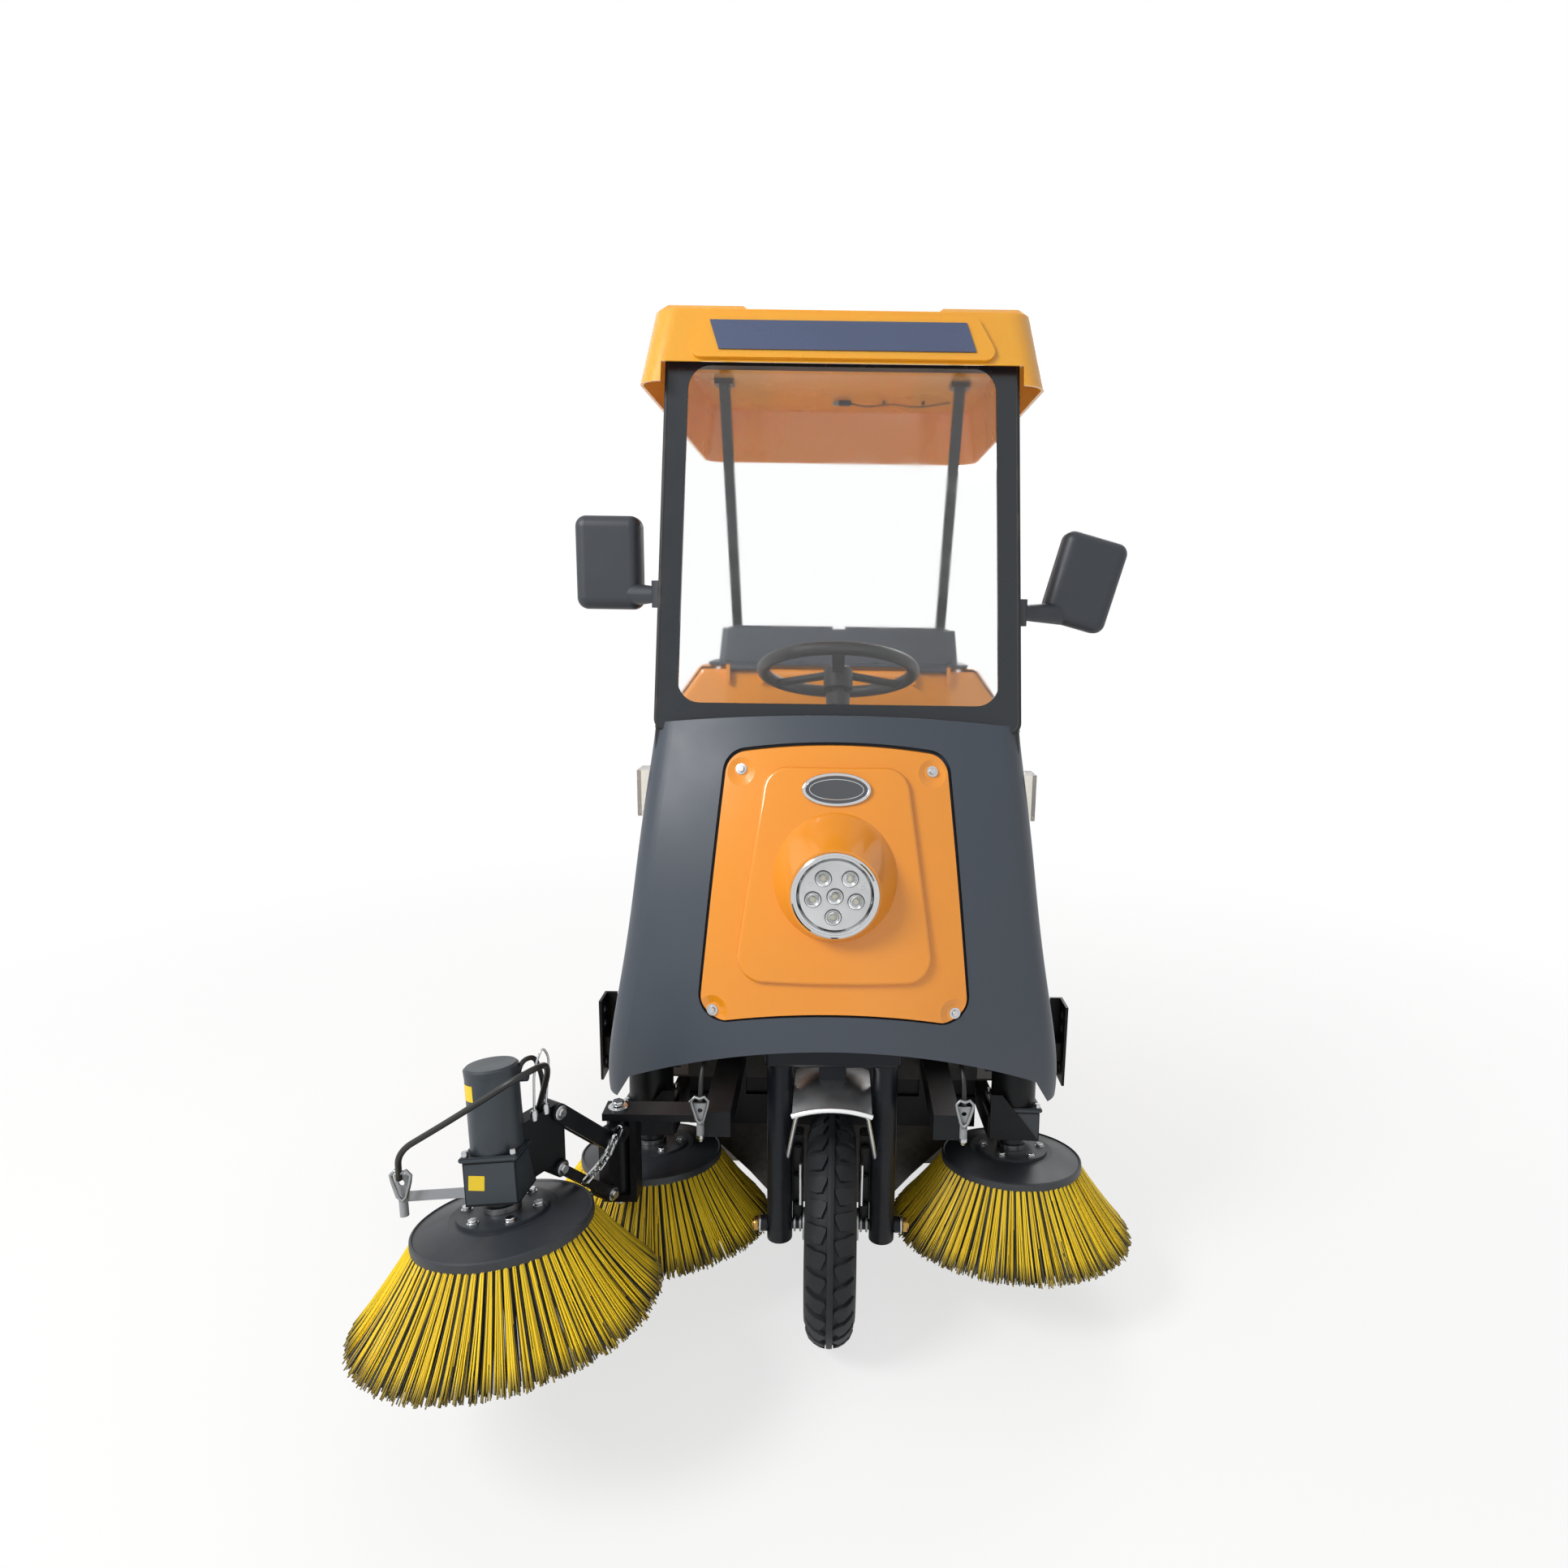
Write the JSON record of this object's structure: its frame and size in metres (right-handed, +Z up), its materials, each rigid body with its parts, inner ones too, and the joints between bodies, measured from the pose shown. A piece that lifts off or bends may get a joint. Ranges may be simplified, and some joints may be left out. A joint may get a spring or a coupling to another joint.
{
  "type": "compact road sweeper",
  "caption": "Compact three-wheeled ride-on road sweeper with an open cab under a roof, two front side brushes, a third brush on a side boom, a main roller and a rear hopper.",
  "frame": {"origin": "middle of the footprint box on the ground", "axes": "+Z up, -Y towards the front of the machine, +X towards its left side"},
  "size_m": [1.3994, 2.1206, 1.9959],
  "materials": {
    "battery_plastic": "matte",
    "arm_black_paint": "satin",
    "bristle_fibre": "matte",
    "disc_slate_plastic": "satin",
    "hose_rubber": "satin",
    "motor_silver": "satin",
    "nozzle_grey": "satin",
    "frame_black_paint": "satin",
    "console_plastic": "matte",
    "floor_rubber": "matte",
    "cowl_grey_plastic": "satin",
    "stainless_guard": "polished",
    "fork_black_paint": "satin",
    "hub_steel": "satin",
    "panel_orange_plastic": "gloss",
    "tyre_rubber": "matte",
    "lamp_body": "gloss",
    "bin_steel": "satin",
    "body_orange_plastic": "gloss",
    "roller_fibre": "matte",
    "roller_core": "satin",
    "mirror_black_plastic": "satin",
    "lid_grey_plastic": "satin",
    "frame_dark_profile": "satin",
    "rim_steel": "satin",
    "roof_orange_plastic": "gloss",
    "sign_blue_plastic": "gloss",
    "seat_vinyl": "satin",
    "seat_box_paint": "satin",
    "signal_clear_plastic": "gloss",
    "wheel_grip_plastic": "satin",
    "skirt_rubber": "matte",
    "laminated_glass": "gloss"
  },
  "bodies": {
    "chassis": {"battery_block": "battery_plastic", "brush_tunnel": "frame_black_paint", "chassis_frame": "frame_black_paint", "dash_console": "console_plastic", "floor_pan": "floor_rubber", "front_cowl": "cowl_grey_plastic", "front_panel": "panel_orange_plastic", "headlamp": "lamp_body", "hopper_bin": "bin_steel", "mirrors": "mirror_black_plastic", "pedals": "frame_black_paint", "rear_axle": "frame_black_paint", "rear_body": "body_orange_plastic", "rear_bumper": "frame_black_paint", "rear_posts": "frame_dark_profile", "roof_shell": "roof_orange_plastic", "roof_sign_plate": "sign_blue_plastic", "seat_backrest": "seat_vinyl", "seat_base": "seat_box_paint", "seat_cushion": "seat_vinyl", "signal_lamps": "signal_clear_plastic", "spray_nozzles": "nozzle_grey", "steering_column": "console_plastic", "tunnel_skirts": "skirt_rubber", "windscreen_frame": "frame_dark_profile", "windscreen_glass": "laminated_glass"},
    "front_fork": {"front_fork": "fork_black_paint", "front_fender": "stainless_guard"},
    "front_wheel": {"front_tyre": "tyre_rubber", "front_hub": "hub_steel"},
    "steering_wheel": {"steering_wheel": "wheel_grip_plastic"},
    "rear_wheel_left": {"rear_tyre_left": "tyre_rubber", "rear_rim_left": "rim_steel"},
    "rear_wheel_right": {"rear_tyre_right": "tyre_rubber", "rear_rim_right": "rim_steel"},
    "brush_carrier_left": {"brush_carrier_left": "arm_black_paint"},
    "brush_carrier_right": {"brush_carrier_right": "arm_black_paint"},
    "side_brush_left": {"brush_disc_left": "disc_slate_plastic", "brush_bristles_left": "bristle_fibre"},
    "side_brush_right": {"brush_disc_right": "disc_slate_plastic", "brush_bristles_right": "bristle_fibre"},
    "boom_base": {"boom_base": "arm_black_paint"},
    "boom_upper_link": {"boom_upper_link": "arm_black_paint"},
    "boom_lower_link": {"boom_lower_link": "arm_black_paint"},
    "boom_head": {"boom_head": "arm_black_paint", "boom_motor": "motor_silver", "boom_nozzle": "nozzle_grey", "boom_hose": "hose_rubber"},
    "boom_brush": {"boom_disc": "disc_slate_plastic", "boom_bristles": "bristle_fibre"},
    "main_brush": {"main_brush_core": "roller_core", "main_brush_bristles": "roller_fibre"},
    "rear_lid": {"rear_lid": "lid_grey_plastic"},
    "hopper_door": {"hopper_door": "body_orange_plastic"}
  },
  "joints": [
    {"name": "fork_steer", "type": "hinge", "parent": "chassis", "child": "front_fork", "pos_m": [0.0751, -0.47473, 0.64], "axis": [0, 0, 1], "range_deg": [-30, 30]},
    {"name": "front_wheel_roll", "type": "hinge", "parent": "front_fork", "child": "front_wheel", "pos_m": [0.0751, -0.50973, 0.215], "axis": [1, 0, 0], "continuous": true},
    {"name": "steering_wheel_turn", "type": "hinge", "parent": "chassis", "child": "steering_wheel", "pos_m": [0.0751, -0.09673, 1.283], "axis": [0, 0.342, 0.9397], "range_deg": [-150, 150]},
    {"name": "rear_wheel_left_roll", "type": "hinge", "parent": "chassis", "child": "rear_wheel_left", "pos_m": [0.4751, 0.64027, 0.215], "axis": [1, 0, 0], "continuous": true},
    {"name": "rear_wheel_right_roll", "type": "hinge", "parent": "chassis", "child": "rear_wheel_right", "pos_m": [-0.3249, 0.64027, 0.215], "axis": [1, 0, 0], "continuous": true},
    {"name": "brush_lift_left", "type": "hinge", "parent": "chassis", "child": "brush_carrier_left", "pos_m": [0.3971, -0.07973, 0.33], "axis": [1, 0, 0], "range_deg": [0, 18.5]},
    {"name": "brush_lift_right", "type": "hinge", "parent": "chassis", "child": "brush_carrier_right", "pos_m": [-0.2469, -0.07973, 0.33], "axis": [1, 0, 0], "range_deg": [0, 18.5]},
    {"name": "side_brush_left_spin", "type": "hinge", "parent": "brush_carrier_left", "child": "side_brush_left", "pos_m": [0.4551, -0.36973, 0.275], "axis": [0.0173, 0.1392, 0.9901], "continuous": true},
    {"name": "side_brush_right_spin", "type": "hinge", "parent": "brush_carrier_right", "child": "side_brush_right", "pos_m": [-0.3049, -0.36973, 0.275], "axis": [-0.0173, 0.1392, 0.9901], "continuous": true},
    {"name": "boom_swing", "type": "hinge", "parent": "chassis", "child": "boom_base", "pos_m": [-0.3299, -0.55473, 0.318], "axis": [0, 0, 1], "range_deg": [-8, 34]},
    {"name": "boom_lift", "type": "hinge", "parent": "boom_base", "child": "boom_upper_link", "pos_m": [-0.35029, -0.59144, 0.439], "axis": [0.8742, -0.4856, 0], "range_deg": [0, 78]},
    {"name": "boom_lower_pivot", "type": "hinge", "parent": "boom_base", "child": "boom_lower_link", "pos_m": [-0.35029, -0.59144, 0.334], "axis": [0.8742, -0.4856, 0], "range_deg": [0, 78]},
    {"name": "boom_head_level", "type": "hinge", "parent": "boom_upper_link", "child": "boom_head", "pos_m": [-0.41003, -0.69897, 0.557], "axis": [0.8742, -0.4856, 0], "range_deg": [-78, 0]},
    {"name": "boom_brush_spin", "type": "hinge", "parent": "boom_head", "child": "boom_brush", "pos_m": [-0.4649, -0.79773, 0.404], "axis": [-0.0863, 0.1392, 0.9865], "continuous": true},
    {"name": "main_brush_spin", "type": "hinge", "parent": "chassis", "child": "main_brush", "pos_m": [0.0751, 0.19027, 0.15], "axis": [1, 0, 0], "continuous": true},
    {"name": "rear_lid_open", "type": "hinge", "parent": "chassis", "child": "rear_lid", "pos_m": [0.0751, 0.36027, 1.264], "axis": [1, 0, 0], "range_deg": [0, 70]},
    {"name": "hopper_door_open", "type": "hinge", "parent": "chassis", "child": "hopper_door", "pos_m": [0.0751, 0.95727, 1.026], "axis": [1, 0, 0], "range_deg": [0, 80]}
  ],
  "couplings": [
    {"joint": "steering_wheel_turn", "follows": "fork_steer", "ratio": 4},
    {"joint": "boom_lower_pivot", "follows": "boom_lift", "ratio": 1},
    {"joint": "boom_head_level", "follows": "boom_lift", "ratio": -1}
  ]
}
